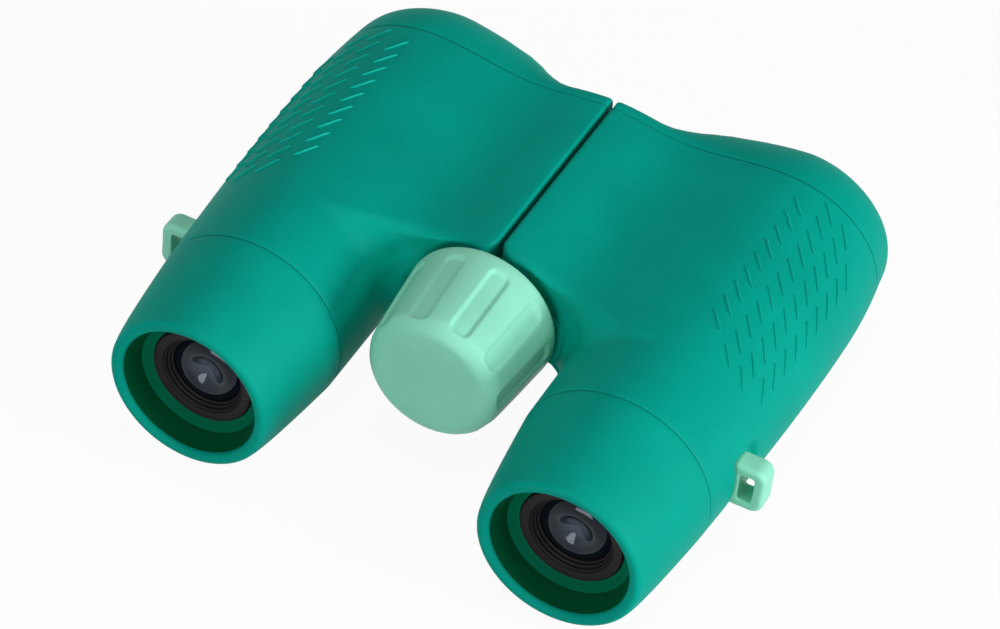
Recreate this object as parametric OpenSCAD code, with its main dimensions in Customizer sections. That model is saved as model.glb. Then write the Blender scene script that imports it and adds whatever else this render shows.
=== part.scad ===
// Compact roof-prism binoculars with one centre hinge and a coaxial focus knob.
// X runs across both barrels, +Y looks out of the objectives, +Z is up.
// The origin is on the resting surface, under the middle of the opened binoculars.
// Inside the modules Y is measured from the joint of eyecup and housing, Z from the barrel axes.

/* [Halves] */
// Distance between the two optical axes with the halves opened flat
eye_spacing = 68; // [68:0.5:74]
// Outer height of each barrel, and its width where the eyecup meets it
barrel_h = 34.4; // [34:0.1:36]
// How far the outer side of the barrel swells beyond a circle
barrel_swell = 2.7; // [1.5:0.1:4]
// Length of the body from the eyecup joint to the front face
body_len = 76.8; // [76:0.1:84]
// Radius that rounds the front end of each barrel at its top and underside
front_round = 16; // [12:0.5:18]
// Radius that rounds the front end at the outer side
side_round = 8.5; // [7:0.1:10]
// Wall thickness of housings and front covers
wall = 1.8; // [1.2:0.1:2]
// Distance of the seam of the front cover from the front face
cover_len = 12.6; // [12.2:0.1:15]

/* [Wings] */
// Distance of the wings' front edge from the front face
wing_setback = 9.4; // [8.8:0.1:11]
// Length of the wings along the hinge
wing_len = 47.4; // [46.5:0.1:49]
// Height of the wing's ridge beside the hinge, above the barrel axes
ridge_h = 16.9; // [16:0.1:18]
// Height of the lowest line of the wing's top
valley_h = 15.1; // [14:0.1:16]
// Distance of that line from the hinge plane
valley_x = 14.6; // [13:0.1:16]
// Depth of the wing's underside below the barrel axes
wing_under = 2.2; // [1.6:0.1:4]
// Concave radius between the wing's underside and the barrel
under_fillet = 12; // [8:0.5:14]
// Slit between the two wings along the ridge
slit = 0.8; // [0.6:0.1:1.2]
// Concave radius between the wing and the barrel at the eye end
rear_fillet = 7; // [4:0.5:8]
// Width over which the wing's front edge sweeps forward to the barrel's front face
front_sweep = 13.5; // [10:0.5:15]

/* [Hinge] */
// Height of the hinge axis above the barrel axes
hinge_h = 4.2; // [3.5:0.1:5]
// Outer radius of the hinge knuckles
knuckle_r = 6.8; // [6.6:0.1:7.4]
// Radius of the hinge tube and of the hinge pin
hinge_pin_r = 3; // [2.8:0.1:3.2]
// Largest fold between the two halves, in degrees
fold_max = 56; // [40:1:60]
// Length of the rear knuckle of the right half
knuckle_a = 8.7; // [8:0.1:9]
// Length of the rear knuckle of the left half
knuckle_b = 8.7; // [8:0.1:9]
// Length of the chamber that holds the focus carriage
chamber_len = 13.8; // [13.4:0.1:14.2]
// Length of the front knuckle of the left half
knuckle_c = 5.7; // [5:0.1:6]
// Wall of the curved shell that closes the chamber
chamber_wall = 1; // [0.8:0.1:1.1]

/* [Focus] */
// Largest diameter of the focus knob
knob_d = 27.4; // [25:0.2:28]
// Diameter of the knob at the end of its side
knob_end_d = 24.6; // [22:0.2:25]
// Length of the knob
knob_len = 20.2; // [18:0.1:20.8]
// Number of scooped grips around the knob
knob_grips = 10; // [8:1:12]
// Depth of each grip
grip_depth = 0.7; // [0.4:0.1:1.2]
// Gap between the knob and the round recess behind it
knob_gap = 1.7; // [1:0.1:1.8]
// Radius of the focus spindle
spindle_r = 2; // [1.8:0.1:2.1]
// Travel of the objectives to each side of the middle of the focus range
focus_travel = 1.8; // [1:0.1:2]
// Thickness of the drive arm on each objective cell
arm_t = 3; // [2.4:0.1:3.2]
// Height of the drive arm
arm_h = 5; // [4:0.1:5.6]

/* [Eyecups] */
// Length of each rubber eyecup
eyecup_len = 21.3; // [20.8:0.1:24]
// Outer diameter of the eyecup at its mouth
eyecup_mouth_d = 29.4; // [29:0.1:31]
// Inner diameter of the mouth
eyecup_bore_d = 24.8; // [24:0.1:26]
// Depth of the eye lens bezel below the mouth
bezel_depth = 5.1; // [4.8:0.1:6]

/* [Optics] */
// Clear diameter of each objective
objective_d = 21; // [20:0.1:22]
// Clear diameter of each eye lens
eye_lens_d = 14.8; // [13:0.1:15]
// Outer diameter of the black bezel ring
bezel_d = 18.5; // [18.2:0.1:19.5]
// Side of the square beam that the prisms pass
prism_h = 13; // [12:0.1:13.4]
// Air gap between the two prisms of each pair
prism_gap = 0.2; // [0.1:0.05:0.3]
// Diameter of the opening in each front cover
front_open_d = 23; // [22.6:0.1:24]

/* [Strap lugs] */
// Height of each lug
lug_h = 9.2; // [8:0.1:10]
// Thickness of each lug along the barrel
lug_t = 4.3; // [3.5:0.1:5]
// How far the lug stands out from the barrel
lug_proud = 4.8; // [4:0.1:5.5]
// Distance of the lug from the eyecup joint
lug_y = 9.1; // [8:0.1:10]
// Width of the strap hole
lug_hole_w = 2.6; // [2:0.1:2.8]
// Height of the strap hole
lug_hole_h = 5.4; // [4:0.1:5.6]

/* [Fits] */
// Radial clearance of shafts and sliding cells in their bores
run_clear = 0.05; // [0.02:0.01:0.1]
// Clearance between pieces that are pressed or glued together
seat_clear = 0.02; // [0.01:0.01:0.05]
// Gap between pieces of the two halves that pass each other
swing_clear = 0.3; // [0.25:0.05:0.4]

/* [Hidden] */
$fn = 64;

teal = [0.00, 0.60, 0.53];
mint = [0.55, 0.84, 0.73];
black = [0.10, 0.10, 0.10];
steel = [0.70, 0.71, 0.72];
brass = [0.78, 0.62, 0.32];
glass = [0.65, 0.78, 0.85];

// Halves
axis_x = eye_spacing / 2;
barrel_r = barrel_h / 2;
mid_y = (body_len - eyecup_len) / 2;
seam_y = body_len - cover_len;
rim_step = 0.5;
rim_land = 0.3;
rim_depth = 0.8;
rim_r = front_open_d / 2 + rim_step + rim_land;
nose_angle = acos(1 - (barrel_r - rim_r) / side_round);
nose_y = body_len - side_round * sin(nose_angle);
swell_y = 0.68 * body_len;
nose_drop = 1.4;
ring_points = 40;

// Wings and hinge
inner_x = axis_x - barrel_r;
sweep_x = valley_x / 2;
wing_end = body_len - wing_setback;
wing_start = wing_end - wing_len;
knuckle_gap_r = knuckle_r + swing_clear;
fold_half = fold_max / 2 + 2;
y_a = wing_start + knuckle_a;
y_b = y_a + swing_clear;
y_c = y_b + knuckle_b;
y_d = y_c + swing_clear;
y_e = y_d + chamber_len;
y_f = y_e + swing_clear;
y_g = y_f + knuckle_c;
y_h = y_g + swing_clear;
cavity_x = knuckle_gap_r + wall;
chamber_r = knuckle_r - chamber_wall;
far = 60;

// Focus drive
arm_y = (y_d + y_e) / 2;
groove_r = spindle_r + 1.2;
carriage_r = chamber_r - 0.6;
carriage_len = 8;
clip_t = 0.7;
clip_gap = 0.1;
washer_t = 0.5;
tube_start = wing_start - 1.8;
knob_start = wing_start - 1 - knob_len;
hub_end = tube_start - washer_t - 2 * clip_gap;
hub_r = spindle_r + 2.5;
spindle_start = knob_start + 3;
spindle_end = y_e + 2;
knob_wall = 1.8;

// Strap lugs
lug_z = -0.8;

// Eyepieces
neck_wall = 1.7;
neck_r = barrel_r - 3.8;
neck_bore_r = neck_r - neck_wall;
bezel_y = -eyecup_len + bezel_depth;
bezel_t = 0.9;
nose_len = 1;
flange_t = 0.8;
neck_end = bezel_y + bezel_t + nose_len + flange_t;
lens_bore_r = eye_lens_d / 2 + 0.7;
eye_lens_t = 3.6;
spacer_t = 4;
field_lens_t = 3;
spacer_wall = 1;
lens_seat = 1.3;

// Prisms
rear_wall = 2.2;
holder_gap = 0.3;
holder_r = barrel_r - wall - holder_gap;
holder_wall = 1.2;
prism_len = 1.2071 * prism_h;
holder_len = prism_len + 2 * holder_wall + 2 * seat_clear;
prism_y = rear_wall + holder_wall + seat_clear;
screw_x = (neck_bore_r + neck_r) / 2 + 0.5;
screw_r = 0.9;
screw_head_r = 1.5;
screw_head_t = 1.2;

// Objectives
lens_r = objective_d / 2 + 0.7;
objective_t = 4.5;
cell_r = lens_r + 1.3;
cell_start = arm_y - arm_t / 2;
cell_end = seam_y + 2.4;
retainer_t = 1;
lens_y = cell_end - retainer_t - objective_t;
guide_t = 2;
guide_1 = arm_y + arm_t / 2 + focus_travel + 0.5;
guide_2 = lens_y - 1;
cover_bore_r = cell_r + 0.5;
recess_y = body_len - 6;
cover_stations = concat([seam_y, seam_y + 1.2, seam_y + 2.8],
    [for (k = [0:8]) nose_y + side_round * sin(nose_angle * k / 8)]);

// ---- shapes shared by both halves -------------------------------------------

// Outer half-width of the barrel on its outer side
function outer_a(y) = y < swell_y
    ? barrel_r + barrel_swell * sin(90 * y / swell_y)
    : barrel_r + barrel_swell - nose_drop * pow((y - swell_y) / (nose_y - swell_y), 2);

// Radius of the rounded front end, at the angle t round the barrel
function nose_round(t) = cos(t) > 0
    ? side_round + (front_round - side_round) * pow(sin(t), 2) : front_round;

// Inset of an edge that is rounded with the radius r from y_from on
function round_inset(y, y_from, r) = y < y_from ? 0 : r - sqrt(max(0, r * r - pow(y - y_from, 2)));

// Inset of the rounded front end at y
function nose_inset(y, t) = let(r = nose_round(t))
    round_inset(y, body_len - r * sin(acos(1 - (barrel_r - rim_r) / r)), r);

// One ring of points round the barrel, as wide as a circle towards the hinge
function ring(y, inset) = [for (i = [0:ring_points - 1]) let(
    t = -360 * i / ring_points,
    drop = inset + nose_inset(y, t),
    a = cos(t) > 0 ? outer_a(min(y, nose_y)) : barrel_r
) [axis_x + (a - drop) * cos(t), y, (barrel_r - drop) * sin(t)]];

// Solid through rings of equal point counts
module loft(rings) {
    n = len(rings[0]);
    m = len(rings);
    polyhedron(
        points = [for (r = rings) for (p = r) p],
        faces = concat(
            [[for (i = [0:n - 1]) i]],
            [for (j = [0:m - 2]) for (i = [0:n - 1])
                [j * n + i, (j + 1) * n + i, (j + 1) * n + (i + 1) % n]],
            [for (j = [0:m - 2]) for (i = [0:n - 1])
                [j * n + i, (j + 1) * n + (i + 1) % n, j * n + (i + 1) % n]],
            [[for (i = [n - 1:-1:0]) (m - 1) * n + i]]
        )
    );
}

// Barrel between two stations, inset from the outside
module barrel(y_from, y_to, inset = 0, steps = 8) {
    loft([for (k = [0:steps]) ring(y_from + (y_to - y_from) * k / steps, inset)]);
}

// Height of the wing's top at x
function top_z(x) = x < valley_x
    ? valley_h + (ridge_h - valley_h) * (1 + cos(180 * x / valley_x)) / 2
    : valley_h + (barrel_r - valley_h) * (1 - cos(180 * (x - valley_x) / (axis_x - valley_x))) / 2;

// Left edge of the wing's underside, clear of the other half when folded
function under_x(z) = (hinge_h - z) * tan(fold_half);

// Where the concave corner under the wing leaves the flat underside, and where it meets a barrel of radius r
function under_from(r) = axis_x - sqrt(pow(r + under_fillet, 2) - pow(wing_under + under_fillet, 2));
function under_to(r) = axis_x - r * (axis_x - under_from(r)) / (r + under_fillet);

// Height of the wing's underside at x, beside a barrel of radius r
function under_z(x, r) = x < under_from(r) ? -wing_under
    : x < under_to(r)
        ? sqrt(pow(under_fillet, 2) - pow(x - under_from(r), 2)) - wing_under - under_fillet
    : -sqrt(max(0, r * r - pow(axis_x - x, 2)));

// Cross-section of the wing in X and Z
module wing_section(inset = 0) {
    x_first = inset == 0 ? slit / 2 : cavity_x;
    steps = 16;
    under = wing_under - inset;
    from = under_from(barrel_r);
    to = under_to(barrel_r);
    polygon(concat(
        [for (k = [0:steps]) let(x = x_first + (axis_x - x_first) * k / steps) [x, top_z(x) - inset]],
        inset == 0
            ? concat([[axis_x, -barrel_r / 2]],
                [for (k = [5:-1:0]) let(x = from + (to - from) * k / 5) [x, under_z(x, barrel_r)]],
                [[under_x(-under), -under], [slit / 2, hinge_h - slit / 2 / tan(fold_half)]])
            : [[axis_x, -under], [cavity_x, -under]]
    ));
}

// Outline of the wing seen from above, with its concave corner at the eye end
module wing_plan(inset = 0) {
    rear_x = inner_x - rear_fillet;
    rear_y = wing_start - rear_fillet;
    rear_r = rear_fillet + 1.6 * inset;
    steps = 8;
    polygon(concat(
        [[0, rear_y + rear_r]],
        [for (k = [0:steps]) let(t = 90 * (1 - k / steps))
            [rear_x + rear_r * cos(t), rear_y + rear_r * sin(t)]],
        [[axis_x, rear_y], [axis_x, body_len], [0, body_len]]
    ));
}

// Wing between two stations
module wing(y_from, y_to, inset = 0) {
    intersection() {
        translate([0, y_to, 0]) rotate([90, 0, 0]) linear_extrude(y_to - y_from) wing_section(inset);
        translate([0, 0, -far]) linear_extrude(2 * far) wing_plan(inset);
    }
}

// Cylinder along Y
module along_y(r, y_from, y_to, x = 0, z = 0) {
    translate([x, y_from, z]) rotate([-90, 0, 0]) cylinder(r = r, h = y_to - y_from);
}

// Cylinder along the optical axis or the hinge axis
module optic(r, y_from, y_to) along_y(r, y_from, y_to, axis_x, 0);
module on_hinge(r, y_from, y_to) along_y(r, y_from, y_to, 0, hinge_h);

// Body turned round the optical axis from [radius, y] points
module turned(points) {
    translate([axis_x, 0, 0]) rotate([-90, 0, 0]) rotate_extrude() polygon(points);
}

// Puts a piece into the part's own frame
module place() translate([0, -mid_y, barrel_r]) children();

// Mirrors a piece of the right half onto the left half
module left_side() mirror([1, 0, 0]) children();

// ---- housings ----------------------------------------------------------------

// Drive arm with the room that it needs in the hinge wall
module arm_space() {
    half_h = arm_h / 2 + swing_clear;
    half_y = arm_t / 2 + focus_travel + swing_clear;
    translate([0, arm_y - half_y, hinge_h - half_h])
        cube([cavity_x + 2, 2 * half_y, 2 * half_h]);
}

// Slot and shallow pocket for the strap lug
module lug_space() {
    depth = 0.6;
    margin = 1.1;
    translate([axis_x + holder_r, lug_y - seat_clear, lug_z - lug_h / 2 - seat_clear])
        cube([far, lug_t + 2 * seat_clear, lug_h + 2 * seat_clear]);
    translate([axis_x + outer_a(lug_y) - depth, lug_y - margin, lug_z - lug_hole_h / 2])
        cube([far, lug_t + 2 * margin, lug_hole_h]);
}

// Housing of one half; own and other are the hinge stretches of this half and of its neighbour
module housing(own, other, bore_r) {
    difference() {
        union() {
            difference() {
                union() {
                    barrel(0, seam_y);
                    wing(wing_start - rear_fillet, seam_y);
                }
                on_hinge(knob_d / 2 + knob_gap, wing_start - rear_fillet - 1, wing_start - 0.7);
                barrel(rear_wall, seam_y + 1, wall);
                wing(wing_start - rear_fillet + wall, seam_y + 1, wall);
            }
            optic(neck_r, neck_end, rear_wall);
            guide_ring(guide_1);
            guide_ring(guide_2);
            for (s = own) on_hinge(knuckle_r, s[0], s[1]);
        }
        optic(neck_bore_r, neck_end - 1, rear_wall + 1);
        optic(cell_r + run_clear, guide_1 - 1, guide_2 + guide_t + 1);
        for (s = other) on_hinge(knuckle_gap_r, s[0] - swing_clear, s[1] + swing_clear);
        on_hinge(bore_r, wing_start - 1, seam_y + 1);
        on_hinge(chamber_r, y_d, y_e);
        arm_space();
        lug_space();
        for (side = [-1, 1]) along_y(screw_r + seat_clear, rear_wall - 1.4, rear_wall + 1,
            axis_x + side * screw_x, 0);
    }
}

// Web with the bore that guides the sliding objective cell
module guide_ring(y) {
    intersection() {
        barrel(y, y + guide_t, wall - 0.1, 1);
        optic(holder_r + 0.4, y, y + guide_t);
    }
}

// Curved shell on the right half that closes the carriage chamber, open where the left arm swings
module chamber_shell() {
    spare = 4;
    from = asin((arm_h / 2) / chamber_r) + spare;
    to = from + fold_max;
    difference() {
        on_hinge(knuckle_r, y_d - swing_clear, y_e + swing_clear);
        on_hinge(chamber_r, y_d - swing_clear - 1, y_e + swing_clear + 1);
        arm_space();
        translate([0, y_d - 1, hinge_h]) rotate([-90, 0, 0]) linear_extrude(chamber_len + 2)
            polygon(concat([[0, 0]], [for (k = [0:4]) let(t = 180 - from + (from + to) * k / 4)
                [far * cos(t), -far * sin(t)]]));
    }
}

module right_housing() color(teal) {
    housing([[wing_start, y_a], [y_h, seam_y]], [[y_b, y_c], [y_f, y_g]], hinge_pin_r + seat_clear);
    chamber_shell();
}

module left_housing() color(teal) left_side() {
    housing([[y_b, y_c], [y_f, y_g]], [[wing_start, y_a], [y_d, y_e], [y_h, seam_y]],
        hinge_pin_r + run_clear);
}

// ---- pieces of each half ------------------------------------------------------

// Front edge of the wing at x, and the x where the front edge reaches y
function wing_front(x) = let(t = min(1, max(0, (x - sweep_x) / front_sweep)))
    wing_end + wing_setback * t * t * (3 - 2 * t);
function wing_front_x(y, low = sweep_x, high = sweep_x + front_sweep, n = 14) =
    n == 0 ? low
    : let(x = (low + high) / 2)
        wing_front(x) > y ? wing_front_x(y, low, x, n - 1) : wing_front_x(y, x, high, n - 1);

// Ring of points round the front end of the wing, rounded towards its front edge
function wing_ring(y) = let(
    x_first = y <= wing_end ? slit / 2 : wing_front_x(y),
    r = barrel_r - nose_inset(y, 180),
    steps = 16
) concat(
    [for (k = [0:steps]) let(
        x = x_first + (axis_x - x_first) * k / steps,
        drop = round_inset(y, seam_y, min(wing_front(x) - seam_y + 0.01, 0.8 * front_round))
    ) [x, y, max(1, top_z(x) - drop)]],
    [[axis_x, y, -r / 2]],
    [for (k = [steps:-1:0]) let(x = x_first + (under_to(r) - x_first) * k / steps)
        [x, y, max(under_z(x, r), hinge_h - x / tan(fold_half))]]
);

module front_cover() color(teal) {
    difference() {
        union() {
            loft([for (y = cover_stations) ring(y, 0)]);
            loft([for (y = [seam_y, seam_y + 1, seam_y + 2, wing_end - 0.6, wing_end, wing_end + 0.3,
                wing_end + 1, wing_end + 2.5, wing_end + 4, wing_end + 5.5, wing_end + 7, body_len - 1])
                wing_ring(y)]);
        }
        optic(cover_bore_r, seam_y - 1, recess_y);
        optic(front_open_d / 2, recess_y - 1, body_len + 1);
        optic(front_open_d / 2 + rim_step, body_len - rim_depth, body_len + 1);
        on_hinge(knuckle_gap_r, seam_y - 1, body_len);
    }
}

module eyecup() color(teal) {
    r_root = barrel_r;
    r_mouth = eyecup_mouth_d / 2;
    r_in = eyecup_bore_d / 2;
    r_bezel = bezel_d / 2 + 0.15;
    lip = (r_mouth - r_in) / 2;
    y_m = -eyecup_len;
    floor_y = neck_end - flange_t - seat_clear;
    swell = 0.5;
    step = (r_in - 0.8 - r_bezel) / 3;
    turned(concat(
        [for (k = [0:8]) let(t = 180 - 22.5 * k)
            [r_in + lip + lip * cos(t), y_m + lip - lip * sin(t)]],
        [for (k = [1:8]) let(u = k / 8)
            [r_mouth + (r_root - r_mouth) * u + swell * sin(180 * u), y_m + lip + (-y_m - lip) * u]],
        [[neck_r + seat_clear, 0], [neck_r + seat_clear, neck_end - flange_t - seat_clear],
         [r_bezel, floor_y], [r_bezel, bezel_y + 0.4],
         [r_bezel + step, bezel_y + 0.4], [r_bezel + step, bezel_y],
         [r_bezel + 2 * step, bezel_y], [r_bezel + 2 * step, bezel_y - 0.4],
         [r_bezel + 3 * step, bezel_y - 0.4]]
    ));
}

// Tube round the lenses, with a ring at each end that fits the neck
module eyepiece_barrel() color(black) {
    r_out = neck_bore_r - seat_clear;
    r_flange = neck_r - 0.2;
    r_nose = bezel_d / 2;
    r_tube = lens_bore_r + 1.5;
    ring_t = 2;
    lens_end = bezel_y + bezel_t + eye_lens_t + spacer_t + field_lens_t;
    end = rear_wall - 0.2;
    lip = 1;
    turned([
        [lens_bore_r, bezel_y + bezel_t], [r_nose, bezel_y + bezel_t], [r_nose, neck_end - flange_t],
        [r_flange, neck_end - flange_t], [r_flange, neck_end], [r_out, neck_end],
        [r_out, neck_end + ring_t], [r_tube, neck_end + ring_t], [r_tube, end - ring_t],
        [r_out, end - ring_t], [r_out, end], [lens_bore_r - lip, end],
        [lens_bore_r - lip, lens_end], [lens_bore_r, lens_end]
    ]);
}

module bezel_ring() color(black) {
    turned([
        [eye_lens_d / 2 + 0.3, bezel_y], [bezel_d / 2, bezel_y], [bezel_d / 2, bezel_y + bezel_t],
        [eye_lens_d / 2, bezel_y + bezel_t]
    ]);
}

// Biconvex lens with a flat rim of thickness t; bulge is the height of each curved face
module lens(r, y_from, t, bulge) {
    steps = 6;
    curved_r = r - lens_seat;
    color(glass) turned(concat(
        [for (k = [0:steps]) [curved_r * k / steps, y_from - bulge * (1 - pow(k / steps, 2))]],
        [[r, y_from], [r, y_from + t]],
        [for (k = [steps:-1:0]) [curved_r * k / steps, y_from + t + bulge * (1 - pow(k / steps, 2))]]
    ));
}

module eye_lens() lens(lens_bore_r - seat_clear, bezel_y + bezel_t, eye_lens_t, 0.6);

module lens_spacer() color(black) {
    y = bezel_y + bezel_t + eye_lens_t;
    difference() {
        optic(lens_bore_r - seat_clear, y, y + spacer_t);
        optic(lens_bore_r - spacer_wall, y - 1, y + spacer_t + 1);
    }
}

module field_lens() {
    lens(lens_bore_r - seat_clear, bezel_y + bezel_t + eye_lens_t + spacer_t, field_lens_t, 0.5);
}

// Cage that holds both prisms, with a screw hole in each cheek
module prism_holder() color(black) {
    pocket_w = prism_h + 2 * seat_clear;
    difference() {
        optic(holder_r, rear_wall, rear_wall + holder_len);
        translate([axis_x - pocket_w / 2, rear_wall + holder_wall, -far])
            cube([pocket_w, holder_len - 2 * holder_wall, 2 * far]);
        optic(prism_h / 2 - 0.4, rear_wall - 1, rear_wall + holder_len + 1);
        for (side = [-1, 1]) along_y(screw_r + seat_clear, rear_wall - 1, rear_wall + holder_len + 1,
            axis_x + side * screw_x, 0);
    }
}

// Prism drawn in Y and Z, as wide as the beam
module prism(points) {
    color(glass) translate([axis_x + prism_h / 2, prism_y, 0]) rotate([0, -90, 0])
        linear_extrude(prism_h) polygon([for (p = points) [p[1], p[0]]]);
}

// The half-penta prism stands in front, and its long face reflects the beam downwards
module half_penta_prism() {
    h = prism_h;
    g = prism_gap * sqrt(2);
    l = prism_len;
    prism([[l, -h / 2], [l, h / 2], [l - h, 0.9142 * h], [l - 1.2071 * h + g / 2, 0.7071 * h + g / 2],
        [l - g, -h / 2]]);
}

// The roof prism stands behind it
module roof_prism() {
    h = prism_h;
    g = prism_gap * sqrt(2);
    l = prism_len;
    prism([[0, 0.7071 * h - g], [0, -0.7071 * h], [0.2071 * h, -0.9142 * h], [l - g, -h / 2 - g]]);
}

module prism_screws() color(steel) {
    y = rear_wall + holder_len;
    for (side = [-1, 1]) {
        along_y(screw_r, rear_wall - 1.3, y, axis_x + side * screw_x, 0);
        along_y(screw_head_r, y, y + screw_head_t, axis_x + side * screw_x, 0);
    }
}

// Closed loop for the neck strap
module strap_lug() color(mint) {
    corner = 1.8;
    x_in = axis_x + holder_r + holder_gap / 2;
    x_out = axis_x + outer_a(lug_y) + lug_proud;
    hole_x = x_out - 2;
    translate([0, lug_y + lug_t, lug_z]) rotate([90, 0, 0]) linear_extrude(lug_t) difference() {
        polygon([
            [x_in, -lug_h / 2], [x_out - corner, -lug_h / 2], [x_out, -lug_h / 2 + corner],
            [x_out, lug_h / 2 - corner], [x_out - corner, lug_h / 2], [x_in, lug_h / 2]
        ]);
        translate([hole_x - lug_hole_w, -lug_hole_h / 2]) square([lug_hole_w, lug_hole_h]);
    }
}

// Sliding cell with its drive arm, forked round the carriage's groove
module objective_cell() color(black) {
    difference() {
        union() {
            optic(cell_r, cell_start, cell_end);
            translate([0, cell_start, hinge_h - arm_h / 2]) cube([axis_x, arm_t, arm_h]);
        }
        optic(lens_r - 0.9, cell_start - 1, lens_y + 1);
        optic(lens_r, lens_y, cell_end + 1);
        on_hinge(groove_r + swing_clear, cell_start - 1, cell_start + arm_t + 1);
    }
}

module objective_lens() lens(lens_r - seat_clear, lens_y, objective_t, 0.7);

module objective_retainer() color(black) {
    y = cell_end - retainer_t;
    difference() {
        optic(lens_r - seat_clear, y, cell_end);
        optic(objective_d / 2, y - 1, cell_end + 1);
    }
}

// ---- hinge ---------------------------------------------------------------------

module hinge_tube() color(steel) difference() {
    on_hinge(hinge_pin_r, tube_start, y_d - 0.1);
    on_hinge(spindle_r + run_clear, tube_start - 1, y_d + 1);
}

module hinge_pin() color(steel) difference() {
    on_hinge(hinge_pin_r, y_e + 0.1, seam_y);
    on_hinge(spindle_r + run_clear, y_e - 1, spindle_end + swing_clear);
    on_hinge(screw_r + seat_clear, seam_y - 5, seam_y + 1);
}

module hinge_end_cap() color(teal) difference() {
    on_hinge(knuckle_r - 0.1, seam_y, wing_end - 0.4);
    on_hinge(screw_r + seat_clear, seam_y - 1, wing_end);
    on_hinge(screw_head_r + 0.1, wing_end - 0.4 - screw_head_t - 0.2, wing_end);
}

module hinge_screw() color(steel) {
    y = wing_end - 0.6 - screw_head_t;
    on_hinge(screw_r, seam_y - 4.8, y);
    on_hinge(screw_head_r, y, y + screw_head_t);
}

// ---- focus drive -----------------------------------------------------------------

module focus_knob() color(mint) {
    r_base = knob_d / 2;
    r_end = knob_end_d / 2;
    y0 = knob_start;
    y1 = knob_start + knob_len;
    fillet = 2.6;
    grip_w = 2 * PI * r_base / knob_grips * 0.42;
    grip_from = y0 + 0.1 * knob_len;
    grip_to = y1 - 0.16 * knob_len;
    difference() {
        translate([0, 0, hinge_h]) rotate([-90, 0, 0]) rotate_extrude() polygon(concat(
            [[0, y0]],
            [for (k = [0:6]) let(t = 15 * k)
                [r_end - fillet + fillet * sin(t), y0 + fillet - fillet * cos(t)]],
            [[r_base, y1 - 1.8], [r_base - 0.3, y1 - 0.7], [r_base - 1.2, y1],
             [r_base - 1.2 - knob_wall, y1], [r_end - knob_wall, y0 + 3], [hub_r, y0 + 3],
             [hub_r, hub_end], [0, hub_end]]
        ));
        on_hinge(spindle_r + seat_clear, spindle_start, y1 + 1);
        for (k = [0:knob_grips - 1]) translate([0, 0, hinge_h]) rotate([0, 360 * k / knob_grips - 20, 0])
            grip(grip_w, grip_from, grip_to, r_base - grip_depth);
    }
}

// Flat-bottomed scoop with round ends, sunk to the given radius
module grip(w, y_from, y_to, r) {
    taper = atan((knob_d - knob_end_d) / 2 / knob_len);
    translate([0, y_to, r]) rotate([-taper, 0, 0]) translate([0, -(y_to - y_from), 0]) {
        translate([-w / 2, w / 2, 0]) cube([w, y_to - y_from - w, 3]);
        translate([0, w / 2, 0]) cylinder(r = w / 2, h = 3);
        translate([0, y_to - y_from - w / 2, 0]) cylinder(r = w / 2, h = 3);
    }
}

module focus_spindle() color(brass) on_hinge(spindle_r, spindle_start, spindle_end);

module spindle_clip() color(steel) difference() {
    on_hinge(spindle_r + 1.6, y_d + clip_gap, y_d + clip_gap + clip_t);
    on_hinge(spindle_r + seat_clear, y_d - 1, y_d + 2);
}

module knob_washer() color(black) difference() {
    on_hinge(spindle_r + 1.4, hub_end, hub_end + washer_t);
    on_hinge(spindle_r + seat_clear, hub_end - 1, hub_end + 2);
}

// Nut with a groove that moves both drive arms at any fold
module focus_carriage() color(brass) difference() {
    on_hinge(carriage_r, arm_y - carriage_len / 2, arm_y + carriage_len / 2);
    on_hinge(spindle_r + run_clear, y_d - 1, y_e + 1);
    difference() {
        on_hinge(carriage_r + 1, arm_y - arm_t / 2 - 0.1, arm_y + arm_t / 2 + 0.1);
        on_hinge(groove_r, arm_y - arm_t, arm_y + arm_t);
    }
}

// ---- nodes -------------------------------------------------------------------------

place() right_housing();
place() front_cover();  // right_front_cover
place() eyecup();  // right_eyecup
place() eyepiece_barrel();  // right_eyepiece_barrel
place() bezel_ring();  // right_bezel_ring
place() eye_lens();  // right_eye_lens
place() lens_spacer();  // right_lens_spacer
place() field_lens();  // right_field_lens
place() prism_holder();  // right_prism_holder
place() roof_prism();  // right_roof_prism
place() half_penta_prism();  // right_half_penta_prism
place() prism_screws();  // right_prism_screws
place() strap_lug();  // right_strap_lug
place() objective_cell();  // right_objective_cell
place() objective_lens();  // right_objective_lens
place() objective_retainer();  // right_objective_retainer

place() left_housing();
place() left_side() front_cover();  // left_front_cover
place() left_side() eyecup();  // left_eyecup
place() left_side() eyepiece_barrel();  // left_eyepiece_barrel
place() left_side() bezel_ring();  // left_bezel_ring
place() left_side() eye_lens();  // left_eye_lens
place() left_side() lens_spacer();  // left_lens_spacer
place() left_side() field_lens();  // left_field_lens
place() left_side() prism_holder();  // left_prism_holder
place() left_side() roof_prism();  // left_roof_prism
place() left_side() half_penta_prism();  // left_half_penta_prism
place() left_side() prism_screws();  // left_prism_screws
place() left_side() strap_lug();  // left_strap_lug
place() left_side() objective_cell();  // left_objective_cell
place() left_side() objective_lens();  // left_objective_lens
place() left_side() objective_retainer();  // left_objective_retainer

place() hinge_tube();
place() hinge_pin();
place() hinge_end_cap();
place() hinge_screw();
place() focus_knob();
place() focus_spindle();
place() spindle_clip();
place() knob_washer();
place() focus_carriage();
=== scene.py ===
"""Looks of the compact binoculars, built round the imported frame.

Shapes are worked out in millimetres in the frame of the right half: x from the hinge plane,
y from the joint of eyecup and housing, z from the barrel axes. The left half is its mirror image.
"""

import math

import bmesh
import bpy
import numpy as np
from mathutils import Matrix, Vector


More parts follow.
